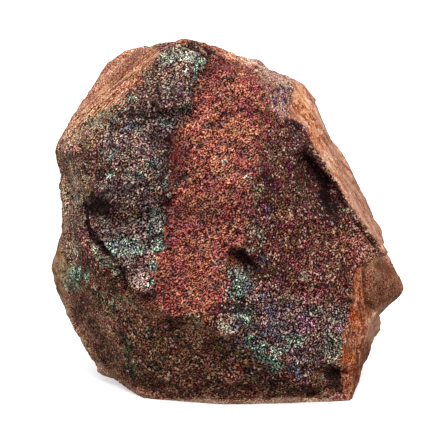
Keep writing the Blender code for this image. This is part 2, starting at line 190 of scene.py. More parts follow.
# What each part of the front is, as outlines of (right, up) seen from the eye. The seam, from
# the crest down, is where the crust ends and the rusty band begins.
SEAM = [
    (-2.4, 34.4), (-2.8, 31.6), (-2.6, 29), (-4.4, 26.4), (-4.8, 24), (-6.4, 21.4), (-8.4, 20.4),
    (-8, 18.4), (-8.8, 16), (-10, 13), (-9.6, 11), (-10.4, 9.6), (-9.4, 5.6), (-10.4, 4),
    (-11, 1.6), (-11, -2.4), (-12, -4), (-11.6, -6.4), (-13.6, -7), (-12.6, -9), (-14, -10),
    (-13.2, -12), (-14, -14.6), (-17, -14.2),
]
RUSTY_BAND = SEAM[::-1] + [
    (2.4, 34.5), (7, 31), (8.6, 28), (10.6, 25.4), (10.6, 21.6), (9.4, 18.8), (8, 14.6),
    (7.4, 10.6), (6.2, 7), (6.4, 4), (5.2, -1), (4.4, -4), (2, -6.4), (1.2, -8.8), (0.8, -11),
    (-0.4, -15), (-2, -17), (-4.4, -18.2), (-7, -18.4), (-10, -18), (-14, -18), (-16.4, -16.4),
]
CRUST = SEAM + [
    (-20.4, -9.6), (-24, -6), (-26, -3.6), (-27, -0.4), (-26.8, 3), (-25, 8), (-24, 13),
    (-23.6, 17), (-20, 21.6), (-17, 25), (-14.6, 29), (-13, 32.4), (-11, 34.6), (-7.4, 35.6),
]
BEVEL = [
    (-34, 16), (-29, 26), (-22, 35), (-16, 38), (-11, 37), (-13, 32.4), (-15.4, 29), (-17, 26.4),
    (-20.4, 23), (-24, 20.6), (-27, 19.6), (-31, 17),
]
RIND = [
    (-34, 18), (-30, 20.4), (-27, 23.4), (-21, 28.6), (-15.8, 33), (-12.6, 35.4), (-13, 38),
    (-24, 38), (-36, 22),
]
MARGIN = [
    (-37, 12), (-33.4, 15), (-31, 17), (-27, 19.6), (-24, 18.4), (-24.6, 13), (-25.6, 10),
    (-26.4, 6), (-27.4, 3), (-27.6, -1), (-28, -4), (-30, -6), (-37, -5),
]
HIP = [(-37.0, -5.0), (-31.8, -5.0), (-30.4, -9.0), (-30.8, -14.0), (-32.0, -16.5), (-37.0, -16.0)]
CROWN = [
    (4, 34.6), (8, 34), (17, 29), (17, 25.6), (15.2, 23), (15, 19.6), (12, 19.8), (10.4, 22),
    (10.2, 25.4), (8, 29), (5.6, 31.6),
]
FLANK = [
    (14.6, 30.6), (14.8, 26.6), (14.6, 23.8), (13.8, 22), (14.2, 20.2), (16.4, 19.2), (17.6, 17.2),
    (18.6, 15), (19.8, 13.6), (20.8, 11.8), (22.2, 9.4), (23.6, 7.4), (25, 5), (26.2, 3),
    (27.4, 0.6), (29.2, -1.8), (31, -4), (32.8, -6.6), (36, -8.4), (40, -4), (24, 20), (20, 30),
]
TOE = [
    (27, -9.6), (29.4, -9), (38, -12), (38, -34), (24.6, -36.4), (24.2, -31), (24, -25),
    (25.6, -21), (25.8, -17), (26.4, -13),
]
SPUR = [
    (29.6, -8.4), (32.8, -7), (34.4, -8.6), (39, -13), (37, -17), (33.2, -18), (30.4, -18.4),
    (29.4, -16), (28.8, -12),
]
PEACOCK = [
    (1.4, -8.8), (6, -8.6), (8.6, -12.6), (13, -15.2), (18, -16.4), (24, -16.4), (26, -17.6),
    (26, -22), (24.2, -26), (23.4, -29.6), (19, -29.6), (16.6, -32.4), (13, -30), (8, -28.6),
    (4, -24.6), (0.8, -23.4), (-1, -21.4), (-0.4, -19.4), (1, -17), (1.2, -12),
]
BELLY = [
    (-37, -8), (-31, -8.4), (-24, -9), (-20.4, -11.4), (-16.6, -17), (-9, -18.6), (-2, -19),
    (1, -23.8), (6, -27), (10, -30), (16, -33), (19, -30.4), (24, -31.6), (24.4, -40), (-40, -40),
]

# The cleft under the top of the right face, painted black as shade.
CLEFT = [
    (16.8, 14.6), (16.6, 13.2), (16.8, 11.8), (18, 10), (19.2, 8.4), (19.8, 6.8), (20, 4.2),
    (21, 3.4), (22.2, 4.2), (22, 5.8), (21.6, 7.2), (21.4, 8.8), (21.2, 10.4), (20.2, 12),
    (18.6, 13.8), (17.4, 14.8),
]

# The tarnish and the stains, as ovals: right, up, half width, half height, a tilt in degrees
# if there is one, and the share of the ore that is stained.
STAINS = {
    "mint": [
        (-4, 30.8, 0.9, 2, -15, 0.85), (-7.3, 22.2, 0.7, 0.9, 0.9),
        (-10.9, 19.3, 2.4, 1.2, -15, 1.1), (-16.8, 23.8, 1.3, 0.8, 10, 0.6),
        (-10.4, 7.4, 0.9, 2.1, 10, 1.3), (-12.8, -0.9, 2.3, 2.8, 8, 1.25),
        (-15.4, -0.2, 1.3, 1.2, 0.6), (-19.2, -5.5, 3.7, 2.4, 1.3), (-13.6, -5.4, 2.2, 1.3, 0.95),
        (-13.2, -8.4, 0.7, 1.3, 0.9), (-13.4, -12, 0.6, 0.9, 0.9), (-28, -10.8, 2.2, 1.8, 20, 0.75),
        (-20.6, -11.6, 0.9, 0.8, 0.5), (3, -10.4, 1.7, 1, 0.75), (4.4, -12.2, 2.2, 1.9, -20, 1),
        (4, -14.8, 2, 1.4, 0.9), (4.9, -19.6, 2.2, 1.8, 10, 1.1), (6.4, -23.8, 1, 0.8, 0.8),
        (7.6, -26, 2.6, 1.4, -35, 1.1), (10.4, -28.2, 2.2, 1.3, -20, 1), (12.4, -26.4, 2, 1.4, 0.7),
        (14.8, -24, 2.2, 1.4, 0.8), (20.4, -31.6, 1.2, 0.6, 0.7), (23.6, -19.4, 1.6, 1.2, 0.5),
        (18.6, -18, 2.2, 1.1, 0.8), (-21.8, 12.6, 1.3, 2.2, 1.1), (-16, 12, 8, 10, 0.28),
        (-15, 0, 8, 5, 0.24), (-11.6, 13.6, 1.2, 1.6, 0.45), (-8, 30, 5, 6, 0.3),
        (8, -20, 9, 9, 0.26), (18, -24, 8, 7, 0.22), (-18, 20, 5, 3, 0.35),
        (-22.4, -4.6, 1.4, 0.6, -45, 0.6), (8.6, -1, 1.4, 3, 0.25), (-12.8, 11.3, 1.3, 1.6, 0.9),
        (-23, 9.4, 1.6, 1.2, 0.8), (-17.4, 8.9, 1.8, 1.1, 0.95), (-13.8, 6, 1.2, 2.4, 0.5),
        (-23.7, 0.2, 1, 1.1, 0.6), (-27.8, 4.6, 1.1, 2.4, 0.55), (-14, 3.4, 2.4, 1.4, 20, 0.35),
        (-18, 14.6, 1.6, 1, 0.4),
    ],
    "sage": [
        (-6.2, 32.8, 3.4, 1.6, -12, 1.15), (-10.4, 32, 2.2, 1.8, 30, 0.85),
        (-25.4, 19.8, 1.4, 0.9, 0.8), (-23.4, 20, 3.4, 1.8, 35, 0.6),
        (-20.4, 22.8, 2.8, 1, 38, 0.4), (-10.8, 26.4, 2, 1, 0.6), (-7.8, 26.8, 1.8, 0.8, 0.5),
        (1, -21.4, 1.7, 1.5, 0.95), (-25, -5.8, 1.9, 0.8, -45, 1), (-22.4, -8.6, 2.3, 0.8, -42, 1),
        (-20.6, -10, 1.2, 0.5, -45, 0.7), (-18.4, -7.8, 1.6, 0.5, -20, 0.6),
        (22.3, -25.6, 2.2, 3.6, -10, 0.85), (22.8, -19.2, 2, 1.4, 0.4), (7.4, -2.4, 1.2, 2.6, 0.5),
        (7, 4.4, 1, 1.2, 0.4), (-29.6, -7, 1.6, 1, 0.4), (15.6, -11.8, 1.3, 0.7, 0.6),
        (-21, -16, 3.4, 2, -20, 0.3), (-4.9, -19.4, 1.8, 0.9, 0.7), (8, -31, 3, 1.2, 0.2),
        (5.8, 13.6, 1.4, 2, -10, 0.3), (6.2, 9, 1.4, 1.2, 0.35), (1.4, 10.8, 1.6, 0.8, 20, 0.3),
        (7.4, 5, 1.4, 2.6, 0.3), (-32, -8, 1.6, 3, 10, 0.25), (4.4, -17.4, 2.6, 1.4, 0.4),
        (-16, 10, 9, 16, 10, 0.16), (12, -22, 13, 8, 0.16), (-29.6, -10.8, 3, 3.4, 0.58),
        (7.4, -6.4, 2.6, 3, 0.3), (-28.6, 6, 3, 9, 0.3), (13, 2, 7, 12, 0.08),
    ],
    "blue": [
        (-19.4, -5.2, 1.6, 0.9, 0.7), (-17.8, 18.9, 2, 0.8, 15, 0.45), (-21.4, 2, 1.8, 1.1, 0.4),
        (-23, -5, 1.1, 0.8, -45, 0.6), (-28.4, 4.6, 1.2, 1.1, 0.35), (9.2, 2.4, 1.4, 1.2, 0.55),
        (9.2, -7.8, 1.4, 1, 0.4), (10.2, -18.6, 2.4, 2.6, 0.8), (11, -21.2, 2.2, 0.9, 10, 1.1),
        (5.6, -13.6, 0.9, 0.9, 0.7), (14.8, -21.7, 1.6, 0.9, 0.95), (16, -28.8, 2.4, 1.4, 0.6),
        (16, -31, 1.2, 0.8, 0.85), (23, -21.8, 1, 1.2, 0.5), (-13.2, 27.2, 0.4, 0.8, 20, 0.7),
        (-15.6, 25, 1.2, 0.7, 30, 0.6), (-22, 15.8, 1.4, 1, 0.35), (6.8, -9.4, 1.4, 1.6, 0.35),
        (6, -23.6, 0.9, 0.7, 0.7), (-4.7, -22.6, 1.8, 1.2, 0.35), (12.7, 24.9, 2, 2.2, 0.45),
        (8, 0, 2.4, 3, 0.15), (8, -20, 8, 8, 0.25),
    ],
    "violet": [
        (16.6, -20.3, 2.4, 1.8, 1.3), (15.7, 13.8, 0.9, 0.7, 0.8), (15.4, -26.6, 1.6, 1.3, 0.7),
        (22.9, -21.8, 1.4, 1, 0.6), (10.4, 2, 1.4, 1, 0.5), (9.8, -17.2, 1.8, 1.2, 0.4),
        (12.4, -22.8, 1.6, 1, 0.35), (12.6, 24.7, 1.8, 2.1, 0.4), (-16.6, 26.2, 1.8, 1.2, 30, 0.3),
        (18.8, -16, 3, 1.6, 0.1), (10.6, -18.6, 3.4, 2.6, 0.4), (-19, -5.4, 0.6, 0.5, 0.8),
        (16.8, 17.2, 1, 1.8, 30, 0.45), (21, 9, 1, 0.8, 0.3), (11.4, 22.4, 0.8, 0.8, 0.4),
    ],
    "rose": [
        (-15.6, -12.4, 2.4, 1.5, 0.7), (18.6, -24, 2.3, 1.6, 0.55), (8, -16.4, 1.6, 1.3, 0.55),
        (17.2, 1.8, 1.9, 1.8, 0.35), (22.6, -5.4, 1.6, 1.2, 0.5), (26.6, -0.4, 0.8, 2, 20, 0.6),
        (14, -8, 6, 3, 0.22), (20, -10, 5, 3.4, 0.25), (-17, 14, 4, 3, 0.25), (-15, 8, 3, 1.6, 0.3),
        (-17.6, -1.6, 1.7, 1.3, 0.6), (25.4, -34.8, 1, 0.7, 0.7), (11.6, 22.6, 0.9, 0.9, 0.6),
        (-8, 29, 2.4, 2, 0.2), (19.8, 12.8, 1.6, 0.7, -45, 0.5), (-29, -5.4, 1.8, 1.4, 0.4),
    ],
    "moss": [
        (-22.8, -15.6, 3, 1.3, -38, 0.75), (-18, -16.2, 1, 1.6, 0.7),
        (-18.8, -24.8, 1.6, 2.8, 20, 1), (-14, -23.2, 1.3, 2.8, 15, 0.95),
        (-18.8, -27.4, 1.6, 1, 0.7), (-17.6, -30.4, 1.6, 1.5, 1), (-28.6, -12, 2.2, 2, 0.8),
        (-25.4, -13, 2.6, 1.4, -35, 0.3), (-8, -24, 3, 1, -35, 0.5), (8, -31.4, 4, 1, -12, 0.6),
        (-13, -29, 3.4, 1.2, -30, 0.45), (-21, -13, 1.6, 0.8, -40, 0.6), (-33, -2, 1.2, 3, 0.4),
        (-27, 4, 1, 2, 0.5), (0, -27, 20, 8, 0.25),
    ],
    # Pale cream specks, partly painted glints on shiny grains.
    "pale": [
        (-9.6, 26.4, 2.2, 0.9, 0.3), (-11, 35.6, 0.5, 0.45, 1), (0.6, 25.4, 1, 0.6, 0.2),
        (-5.2, 14.9, 0.7, 0.5, 0.3), (-29.2, -6, 1.6, 1.2, 0.6), (-17.9, -28.7, 0.4, 0.35, 1),
        (-1.6, -8.8, 0.8, 0.5, 0.5), (6, 9, 1.4, 3.6, 0.1), (20.4, 12.6, 1.2, 0.6, -45, 0.3),
        (-16.6, 17.4, 1.6, 1, 0.2), (7.4, 21.8, 2, 1, 20, 0.12), (25.2, -16.2, 0.3, 0.3, 0.9),
        (7.4, -14.8, 0.4, 0.4, 0.9), (8.2, 2.6, 0.6, 0.5, 0.5), (1.2, -21.2, 0.8, 0.8, 0.3),
        (22.8, -26.6, 1.4, 1.4, 0.25), (-4.8, -19.4, 0.8, 0.4, 0.4),
    ],
    "ochre": [
        (-14.4, 27.4, 1.5, 3.6, -12, 0.9), (-12.6, 23.2, 1.4, 0.9, 0.5),
        (-14.6, 31.6, 1.2, 2, 35, 0.6), (-9, 20.4, 1.2, 0.6, 0.5), (-11.2, 31, 1.6, 1.6, 0.5),
        (-4.8, 17.6, 1.4, 1, 0.4), (-0.2, 11.8, 2.4, 1.4, 0.55), (-0.6, -13.2, 2.4, 1.2, 0.9),
        (-2.4, 13, 3, 5, 0.35), (-2, -8, 4, 4, 0.35), (0, 20, 3, 3, 0.35), (-1, 8, 7, 26, 0.32),
        (-1, 11.4, 3, 1.6, 0.6), (0.2, 8.8, 4, 1.2, 0.6), (-4, 3.6, 3, 0.7, 5, 0.4),
        (0.4, 3.6, 3.6, 1.3, 0.55),
    ],
    "orange": [
        (28.3, -14, 0.8, 1.4, 0.8), (27, -19.6, 1.3, 2, 20, 0.85), (25.4, -27.4, 1, 2.6, 10, 0.85),
        (31.4, -21.8, 1, 1.8, 0.5), (3.2, 19.4, 3.4, 2.4, 15, 1), (4.4, 27, 1.9, 1.7, 0.6),
        (4.6, -29.2, 1, 0.6, 0.4), (-2.8, 28.8, 1.7, 2, 0.35), (-1.3, 12, 2, 1.2, 0.5),
        (4.4, 11.6, 1.2, 1.2, 0.7), (-0.6, 31.4, 1.6, 1, 0.4), (2, 9, 2, 1, 0.4),
        (22.8, -5.4, 0.7, 0.5, 0.7), (-2, 4, 5, 24, 0.42), (6.4, 18, 3, 2, 30, 0.5),
        (3.8, 6.6, 1.6, 1, 0.7), (4.2, 11.4, 1.2, 0.8, 0.6), (-2, -13.6, 5, 2, 0.4),
        (-1, 24, 2.4, 1.2, 30, 0.5), (17.4, 20.4, 1.3, 5.4, 28, 0.5),
        (-21, 27.6, 3.4, 0.8, 42, 0.3), (-17, 32, 2.6, 0.6, 42, 0.2),
    ],
    "olive": [
        (15.2, 4, 1.7, 3.8, 0.75), (8.6, -31.2, 3.8, 1.3, -8, 0.75), (11, -33, 3, 0.8, 0.6),
        (1.6, -26.4, 4.4, 1.6, -10, 0.75), (-18.5, -25, 2, 2.4, 0.85), (-17.9, -16.2, 1.2, 2, 0.6),
        (-17.4, -30.2, 2, 1.4, 0.85), (-12.6, -26.6, 2.4, 1.4, -30, 0.75),
        (-21, -18, 3.6, 2.2, -20, 0.6), (26.6, -6.4, 2.4, 1.6, 0.3), (-6, -27.6, 4, 1.4, -15, 0.45),
        (23.8, -19.6, 1.6, 1.6, 0.35), (11.4, 28.8, 0.8, 0.6, 0.5), (-24, -22, 2, 1.4, 0.3),
        (13, -26.4, 1.4, 1, 0.3), (-28.6, -14.6, 2.4, 1.4, 0.35), (11.6, 13, 2.4, 3.4, 0.35),
    ],
    # Mostly painted shade: black put in the undercuts, clefts, notches and cracks where shade falls.
    "soot": [
        (-23.6, 3.2, 2.4, 2, -40, 0.95), (-19, 2.2, 4.6, 0.7, -6, 0.5),
        (-15.5, 20.9, 4.6, 0.7, 3, 0.4), (-9.2, 22.2, 2.4, 0.6, 0.2), (-5.2, 24.4, 0.7, 1.2, 0.6),
        (-24.6, 9.6, 0.9, 1.8, 0.5), (-8.8, 12.2, 0.6, 1.5, 0.75), (-25.8, 4, 0.7, 2.8, 0.6),
        (-11, 4.6, 0.4, 1, 0.8), (-10, 16.4, 1.2, 1, 0.6), (-20, -12.2, 1.4, 0.9, 0.5),
        (24.9, 3, 1, 0.8, -50, 0.8), (15.4, 19.2, 1.4, 0.5, -25, 0.85),
        (9.8, 8.4, 1.6, 0.8, -10, 0.8), (9.2, 3.8, 0.9, 0.6, 0.8), (-5, 13, 0.8, 0.4, 25, 0.8),
        (1, 21.4, 1, 0.35, 40, 0.9), (-0.4, 18.6, 0.8, 0.4, 45, 0.8), (-2.3, 11.7, 0.3, 0.3, 0.9),
        (22.5, -30.6, 2.5, 1.3, -15, 1), (23.2, -32.6, 1.6, 1.8, 0.9),
        (22.2, 2.2, 2.6, 1.3, -50, 0.85), (18.4, -34.4, 1.4, 0.8, 1), (4.6, -7.5, 2.5, 1.3, -28, 1),
        (-14.2, -14.8, 1.8, 0.5, 0.95), (-13.9, -3.7, 3, 0.45, 22, 0.95),
        (25.1, -16, 1.2, 0.6, 0.9), (-1.4, 33.4, 2.8, 0.5, -38, 0.9), (-5, 35.4, 2, 0.4, -15, 0.8),
        (-9.8, -21, 0.9, 1, 0.8), (-7.4, -20.8, 0.5, 0.8, 0.6), (-4, 14.6, 0.6, 0.35, 15, 0.7),
        (-0.4, 19, 0.4, 0.6, 0.5), (1.4, 21.2, 0.9, 0.4, 40, 0.6), (2.4, 28.2, 1.2, 0.35, 22, 0.5),
        (12.9, -11, 0.9, 1, 0.6), (7.4, -10.4, 1.4, 1.2, 0.4), (-25, 2, 0.7, 3, 10, 0.6),
        (-28.2, -19.2, 1, 2, 15, 0.35), (16.6, -33.4, 3, 0.4, 0.5), (12, 20, 1, 0.6, 0.4),
    ],
    "maroon": [
        (21.6, 6.2, 2.2, 4.2, 25, 0.95), (-8.2, 8.6, 2, 2, 0.6), (-2.4, 1.8, 5, 1.2, 0.6),
        (23.6, -31.8, 1.6, 1.2, 0.8), (0, 0, 34, 34, 0.3), (-1, 4, 7, 24, 0.36),
        (-20.6, 30.8, 2.6, 0.9, 40, 0.85), (-29.8, 12.6, 1, 1.2, 0.7), (-26.4, 13.4, 2, 1.6, 0.45),
        (-28.6, -18.8, 1.4, 2.2, 20, 0.85), (-19.4, -21.2, 2, 1, 0.75),
        (-22.8, -27.6, 1.8, 1.4, 0.7), (-9.6, -20.8, 1.2, 1, 0.6), (2.6, 15, 3.4, 1.2, 25, 0.5),
        (7.4, 24, 3, 1, 30, 0.5), (14.6, 15, 2.4, 3, 0.5), (-20, 6.2, 5, 2.3, 0.85),
        (-22.4, -1.6, 2.8, 2.4, 0.7), (-26, 9.6, 3, 2, 0.5), (-13, 3.2, 2.6, 1.6, 0.5),
        (-16.6, 15.4, 3.6, 1.6, 0.5), (21.8, 1.4, 2.6, 2.4, -50, 0.7), (18.4, 8.6, 2, 2.6, 30, 0.6),
        (-6, -0.6, 3, 1, 0.4), (-21, -9, 1, 3, 45, 0.4), (-26, -21, 1.4, 2.4, 20, 0.35),
        (-15, -18.6, 1.6, 1, 0.4),
    ],
}

# Thin lines of stain: a path seen from the eye, half width, share.
LINES = {
    # Painted shade along the cracks.
    "soot": [
        ([(-12.9, 28.8), (-12.7, 26.4), (-12, 24)], 0.25, 0.95),
        ([(-6.6, 35.2), (-3, 34), (-2.2, 33.2)], 0.3, 0.9),
        ([
            (-26.9, 3), (-26.3, -1.4), (-24.8, -4.2), (-22.2, -6.8), (-19.6, -9.6), (-19.2, -11.4),
        ], 0.42, 0.95),
        ([(-13.2, -3.2), (-11.6, -2.6)], 0.35, 0.8),
        ([(-22.4, 15.4), (-19.6, 14.2), (-18, 15.2), (-15, 13.4)], 0.35, 0.6),
        ([(-23, 10.6), (-20, 9.2), (-17, 9.4), (-14.4, 7.6)], 0.4, 0.6),
        ([(-3, 34.2), (-2, 32.6), (-2.2, 30.6)], 0.3, 0.5),
        ([(27.4, -0.6), (29.2, -3), (31, -5), (32.4, -6.8)], 0.3, 0.9),
        ([(-9.8, 4), (-10.6, 2), (-10.8, -1.6)], 0.3, 0.6),
    ],
    "mint": [
        ([(-27.2, -3.2), (-25, -5.8), (-23.2, -8.2), (-21.2, -10.6)], 0.5, 0.42),
        ([(17, 14.6), (18.6, 13.4), (19.6, 12.4)], 0.3, 0.6),
    ],
    "maroon": [
        ([(-26.8, 24.4), (-21, 29.4), (-14.6, 33.7)], 0.25, 0.8),
        ([(-1.2, 27), (2, 28.8)], 0.35, 0.9),
        ([(1.6, 20.4), (4.6, 22.2)], 0.35, 0.9),
        ([(1.8, 27.4), (3.4, 28.8)], 0.3, 0.9),
        ([(-3.6, 18), (0.4, 20.2)], 0.4, 0.8),
        ([(3, 17), (7, 19)], 0.35, 0.7),
        ([(-5, 9.4), (0, 10.4)], 0.4, 0.7),
    ],
    "rose": [
        ([(18.2, 13.4), (19.6, 12.6), (20.6, 11.2)], 0.4, 0.7),
    ],
    "orange": [
        ([(-10, 35.8), (-6, 36.2), (-2, 35), (2, 33.4)], 0.6, 0.55),
        ([(-26.6, 23.6), (-20.6, 28.6), (-14, 32.8)], 0.4, 0.4),
    ],
    "sage": [
        ([(23.6, 2.4), (24.6, 2), (25.6, 1.8)], 0.3, 0.6),
    ],
}

# Where the ore is darker or lighter than its kind: ovals like the stains', and by how much. Partly
# the ore's own tone, partly painted light and shade: darker under the knob and in undercuts and
# hollows, lighter along the lower edge and under the spur, against the shade there.
TONES_AND_PAINTED_LIGHT = [
    (-4, 0.8, 8, 3, -0.26), (-2, -5.4, 6, 2.2, -0.14), (0.4, 4.2, 6, 1.4, -0.2),
    (-5.6, 2.8, 2, 2.6, -0.16), (-20, 4, 8, 3, -0.14), (-17.5, 5.3, 5.2, 2.5, -0.5),
    (-16, 20.8, 3.4, 1.2, -0.52), (-19.2, 21, 2.8, 1.3, 25, -0.38), (-10.4, 20.8, 2, 0.8, 0.22),
    (18, 8, 3, 7, 35, -0.12), (2, 18, 7, 6, 0.04), (-21, -19, 8, 6, -20, 0.16),
    (-14.5, -12.3, 2.6, 1.6, 0.44), (-18.4, -5.4, 4.8, 1.6, 0.35), (-13.2, -8, 1, 2, 0.1),
    (-28.6, -11.8, 2.8, 2.4, 0.34), (-31.2, -7.6, 3, 3.4, 0.18), (5, 12.4, 2.4, 2, -0.07),
    (-9.1, 25.6, 3.3, 1.4, -0.56), (-8.6, 23.5, 2, 1, -0.28), (-9.4, 22.2, 3.4, 0.8, 0.26),
    (10.4, -9.4, 4.6, 2.4, -10, -0.24), (10, -10.7, 7.6, 1.4, -0.14), (8.2, -11.1, 2, 1.3, -0.34),
    (3.3, -17.1, 3.7, 1.6, -0.98), (-26, -7, 4, 3, 0.1), (-29, 28, 4, 4, 45, -0.1),
    (-31, 6, 3, 7, 0.12), (-12.4, -1, 1.6, 3.4, 0.22), (15, -20, 8, 6, -0.1),
    (13.6, -20, 8, 1.8, -0.12), (4, -13, 3, 5, -0.18), (-8.8, 12.6, 2.8, 5.8, 4, -0.5),
    (-10.2, 12, 1.6, 4.2, -0.32), (-10, 4, 1.8, 14, -0.13), (-4.4, 13.4, 2.4, 3, -0.2),
    (3.2, 19.6, 3.2, 2.2, 20, 0.28), (6.4, 23.4, 3, 3.4, -0.28), (3.4, 32.8, 3.8, 1.3, -22, 0.62),
    (8.9, 7.6, 2.6, 2.2, -0.44), (-22, 31.6, 3.8, 2.2, 42, 0.16), (-18.8, 33.8, 2, 1.2, 42, 0.22),
    (-21.4, 16.6, 2.2, 2, 0.2), (-19, 11.8, 2.2, 1.6, -0.18), (-20, 9, 6, 3, -0.06),
    (27.2, -5.4, 3.6, 2.8, -20, 0.46), (27.4, -0.8, 1.5, 1.7, 0.16), (31.3, -21.9, 2, 3.6, 1.3),
    (31.7, -21.8, 1.4, 1.8, 0.8), (33.6, -17.2, 1.5, 1.2, 0.48), (33.6, -7.7, 1.7, 1.3, -30, 0.55),
    (21.8, 2.4, 2.4, 2.2, -50, -0.7), (15.2, -26.7, 1.9, 1.5, -0.36), (1.3, -22.4, 1.8, 1.5, 0.56),
    (-4.2, 27.5, 1.6, 2.4, -0.52), (-11.4, 4.8, 1.6, 2.8, -0.22), (-14.4, 23.4, 2, 3.2, -0.6),
    (-15, 27.4, 2, 2, -0.34), (-25.6, 8.4, 1.6, 5.6, -0.22), (-11.8, 15.6, 3, 2, -0.46),
    (-14, 17.6, 1.8, 2.4, -0.36), (-9.7, 16.7, 1.6, 1.3, -0.22), (15, -36.6, 9, 1, 1.3),
    (-5, -36.6, 7, 0.9, 1.1), (-22.9, 25.7, 2.5, 1.4, 38, 0.36), (20.7, 15.5, 1.4, 2.2, -30, -0.4),
    (-27.4, -0.2, 2.4, 2.4, -0.36), (-23.6, 2.6, 2.8, 2.2, -30, -0.42),
    (-16.8, 30.9, 3.2, 1.9, 42, -0.3), (-23.6, -13, 2, 1.4, 0.18), (17.5, -22.1, 1.7, 1.3, 0.36),
    (32.8, -3.9, 1.2, 1.2, 0.28), (-6.2, 34.8, 2.4, 1.3, 0.32), (-12.5, 8.3, 1.6, 1.9, -0.46),
    (-12, 2.7, 1.5, 1.4, -0.44), (-22.6, -1.9, 2.2, 1.4, -0.3), (-19.2, -1.4, 3.4, 1.5, -0.5),
    (-17.1, -7.7, 1.7, 1.3, -0.62), (-15.2, -4.6, 2.2, 1.8, -0.34),
    (-13.8, -32.4, 3.2, 1.4, -10, -0.4), (19.6, 11.4, 1.5, 3.2, 35, 0.42),
    (22.6, 6.6, 1.2, 1.4, 0.2), (-17.9, -16.2, 1.2, 2, 0.24), (-1.3, 12, 2.2, 1.3, 0.2),
    (1.3, 9.6, 2.7, 1.4, 0.46), (28.6, -13, 1.3, 3, 0.1), (28.4, -18.8, 1.2, 1.4, -0.22),
    (11.2, -28.7, 2, 1.4, 0.34), (-16, -34.4, 3, 0.8, -10, 0.3), (-17.6, -22.8, 1.6, 1.2, -0.18),
    (10.6, 1.3, 4.6, 1.7, 0.26), (-3.8, 17.6, 2, 1.6, 0.14), (1, 15.4, 2, 1.8, 0.22),
    (-27.8, 22.6, 2, 2, 40, 0.14), (-24.1, 19.2, 1.8, 1.3, 0.48), (19.8, 21.4, 2, 3, 20, -0.14),
    (15, 21, 1.2, 1.6, -0.16), (-29.4, -0.6, 1.8, 3.2, -0.2), (-26.9, 3.8, 1.4, 1.8, 0.36),
    (-27.6, 12.5, 3.6, 1.4, -0.46), (8.5, -21.4, 1.7, 1.3, -0.34), (22.4, -20.7, 1.6, 1.3, -0.3),
    (-11.4, -18.7, 2.1, 1.1, 0.36), (-5.4, -22.2, 2.8, 1.8, 0.5), (-28.2, -22, 1.8, 6, 28, 0.3),
    (23.8, -28.8, 1.2, 1.6, 0.2), (-31.2, -16.6, 1.5, 2.8, 20, 0.26),
    (-24.2, -30, 1.4, 2.6, 42, 0.26), (-9.4, -4.4, 1.6, 2.6, -0.14), (12.4, 26.6, 1.6, 1.6, 0.22),
    (11, 29.8, 1.4, 1.2, -0.16), (7.4, 20.6, 2, 1.6, -0.26), (1, -30.4, 2.4, 1.3, -0.16),
    (-32.8, 15.4, 1.3, 1.4, 0.2), (-2, -17.8, 2, 1, -0.18), (22.6, -32.2, 1.8, 1.4, -0.24),
    (18.4, -15, 4.4, 1.3, 0.2), (-14, -26.2, 1.6, 1.4, -0.2), (-7.8, -16, 1.8, 1.2, -0.16),
    (-1.2, -6.8, 1.8, 1.4, -0.16), (4.2, -10, 1.6, 1.2, -0.16), (14.4, -18.8, 1.6, 1.2, -0.16),
    (20, -27.8, 1.4, 1.2, -0.16), (-2.4, 31.2, 1.4, 1.2, 0.2), (2.6, -5.6, 1.6, 1.4, 0.16),
    (16.2, -0.2, 1.6, 1.4, 0.16),
]

# Cracks, pits and lips too fine for the solid: a path seen from the eye, half width, height.
FINE_CUTS = [
    ([(-26.9, 3), (-26.3, -1.4), (-24.8, -4.2), (-22.2, -6.8), (-19.6, -9.6)], 0.5, -0.8),
    ([(-27.2, -3.2), (-25, -5.8), (-23.2, -8.2), (-21.2, -10.6)], 0.5, 0.3),
    ([(-7.4, 35.2), (-3.4, 34), (-2, 32.2), (-2.4, 29.6)], 0.5, -0.9),
    ([(26.2, 1), (29.4, -2.8), (32.8, -7)], 0.35, -0.8),
    ([(25.6, 2.4), (29.8, -2), (33.2, -6.4)], 0.45, 0.4),
    ([(0, 20.6), (1.6, 22.2)], 0.4, -0.4),
    ([(-2, 28.6), (0.4, 29.4)], 0.4, -0.4),
    ([(-4.6, 14.4), (-3.6, 14.8)], 0.4, -0.5),
    ([(26.2, -9.4), (26.2, -14), (26, -20), (24.4, -26), (24.4, -31)], 0.5, 0.35),
    ([(-12.9, 28.8), (-12.7, 26.4), (-12, 24)], 0.35, -0.6),
    ([(29.2, -9), (28.9, -12.4), (29.4, -16.2), (31, -18.2)], 0.5, -0.4),
]

lump = refined_copy(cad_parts["chalcopyrite"], "chalcopyrite_lump")
places = vectors(lump.data, "co") / MM
seen = as_seen(places)
worn_faces = area(seen, SPUR, 1.5) + area(seen, FLANK, 1.0) + area(seen, BEVEL, 1.5)
worn_faces = np.clip(worn_faces + area(seen, TOE, 1.5), 0, 1)
places = eased(lump.data, places, EASING + WORN_EASING * worn_faces)
move_points(lump.data, places)
ways = vectors(lump.data, "normal")
facing_eye = smoothstep(-0.12, 0.14, ways @ TO_EYE)

# The patches' edges wander, in broad bends and in small ones.
BROAD_BEND, SMALL_BEND = 1.5, 0.9
bend = BROAD_BEND * np.column_stack([waves(places, 2.4), waves(places, 2.4, 50.0)])
bend += SMALL_BEND * np.column_stack([waves(places, 0.9), waves(places, 0.9, 50.0)])
bent = seen + bend

front = {
    "band": area(bent + 0.6 * bend, RUSTY_BAND, 1.5),
    "crust": area(bent, CRUST, 0.5),
    "peacock": area(bent, PEACOCK, 1.4),
    "bevel": area(bent, BEVEL, 0.8),
    "rind": area(bent, RIND, 0.5),
    "margin": area(bent, MARGIN, 1.0),
    "hip": area(bent, HIP, 1.0),
    "crown": area(bent, CROWN, 0.9),
    "flank": area(seen + 0.12 * bend, FLANK, 0.22),
    "toe": area(seen + 0.5 * bend, TOE, 0.4),
    "spur": area(seen + 0.5 * bend, SPUR, 0.8),
    "belly": area(bent, BELLY, 1.0),
}
